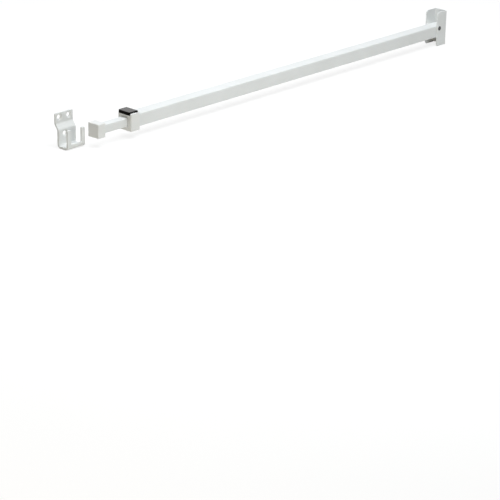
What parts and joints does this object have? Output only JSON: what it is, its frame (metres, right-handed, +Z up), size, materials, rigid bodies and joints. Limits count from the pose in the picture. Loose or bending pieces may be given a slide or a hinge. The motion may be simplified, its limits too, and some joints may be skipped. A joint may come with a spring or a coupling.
{
  "type": "patio door security bar",
  "caption": "White telescoping square-tube security bar for a sliding patio door, with a black cam-lever collar, a hinged jamb bracket and a forked receiver bracket.",
  "frame": {"origin": "centre of the jamb bracket's mounting face", "axes": "+X points into the door frame and the bar runs along -X, +Y points away from the viewer towards the receiver's screw face, +Z is up"},
  "size_m": [0.7996, 0.0511, 0.055],
  "materials": {
    "white_paint": "satin powder coat",
    "white_plastic": "moulded",
    "black_plastic": "glossy moulded",
    "dark_steel": "blackened",
    "steel": "zinc plated",
    "grey_rubber": "matte"
  },
  "bodies": {
    "brackets": {"jamb_bracket": "white_paint", "pivot_pin": "dark_steel", "pin_clip": "steel", "receiver_bracket": "white_paint"},
    "bar": {"outer_tube": "white_paint", "hinge_plug": "white_plastic", "pivot_sleeve": "steel", "hinge_washers": "white_plastic", "plug_rivet": "steel", "lock_collar": "white_plastic", "collar_screws": "steel", "guide_bush": "white_plastic", "cam_pin": "steel"},
    "extension": {"inner_tube": "white_paint", "end_cap": "white_plastic", "cap_pin": "steel", "tail_guide": "white_plastic", "tail_rivet": "steel"},
    "lever": {"cam_lever": "black_plastic"},
    "brake": {"brake_shoe": "steel", "brake_pad": "grey_rubber"}
  },
  "joints": [
    {"name": "bar_swing", "type": "hinge", "parent": "brackets", "child": "bar", "pos_m": [-0.0186, 0, 0.00145], "axis": [0, 1, 0], "range_deg": [0, 90]},
    {"name": "tube_slide", "type": "slide", "parent": "bar", "child": "extension", "axis": [-1, 0, 0], "range_m": [-0.042, 0.458]},
    {"name": "lever_flip", "type": "hinge", "parent": "bar", "child": "lever", "pos_m": [-0.6913, 0, 0.00925], "axis": [0, 1, 0], "range_deg": [0, 90]},
    {"name": "shoe_lift", "type": "slide", "parent": "bar", "child": "brake", "axis": [0, 0, 1], "range_m": [0, 0.000596]}
  ],
  "couplings": [
    {"joint": "lever_flip", "follows": "shoe_lift", "rad_per_m": 2631.6}
  ]
}
